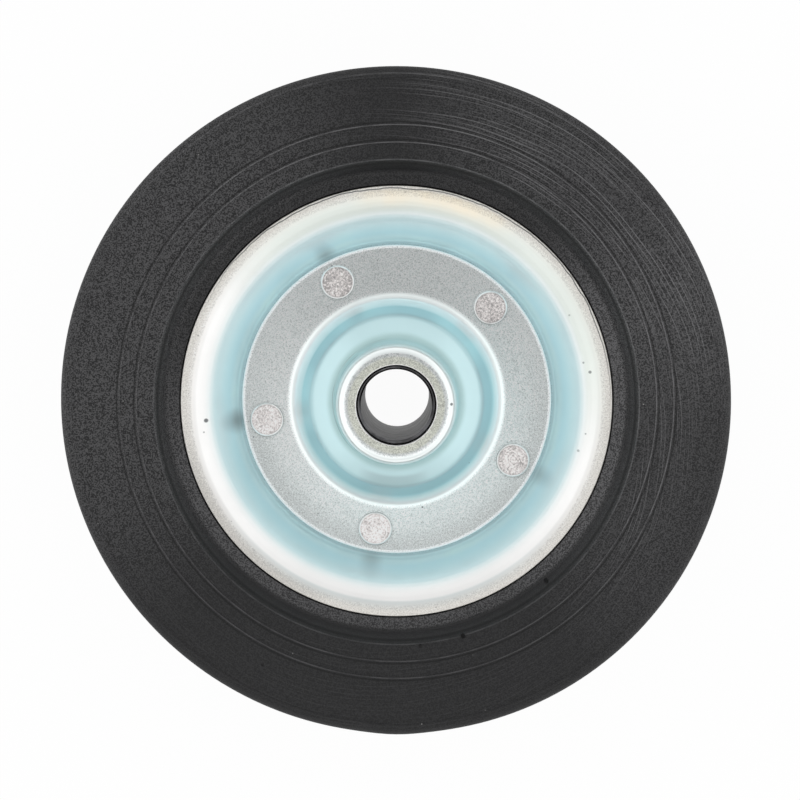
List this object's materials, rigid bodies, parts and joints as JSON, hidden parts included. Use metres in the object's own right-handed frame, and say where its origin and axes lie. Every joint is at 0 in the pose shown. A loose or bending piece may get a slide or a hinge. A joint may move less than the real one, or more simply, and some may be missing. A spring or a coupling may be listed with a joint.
{
  "type": "jockey wheel",
  "caption": "Solid rubber tyre on a dished pressed steel rim with riveted stepped hub flanges and a plain axle sleeve, for a trailer's jockey stand.",
  "frame": {"origin": "middle of the wheel, on its axle line and its middle plane", "axes": "+Z along the axle, out of the front side; the wheel lies on its rear hub end"},
  "size_m": [0.1999, 0.2, 0.058],
  "materials": {
    "tyre_rubber": "matt",
    "rim_zinc": "bright zinc",
    "hub_zinc": "satin zinc",
    "rivet_steel": "pressed",
    "sleeve_plastic": "matt"
  },
  "bodies": {
    "root": {"tyre": "tyre_rubber", "front_rim_half": "rim_zinc", "rear_rim_half": "rim_zinc", "front_hub_flange": "hub_zinc", "rear_hub_flange": "hub_zinc", "rivets": "rivet_steel", "hub_sleeve": "sleeve_plastic"}
  },
  "joints": []
}
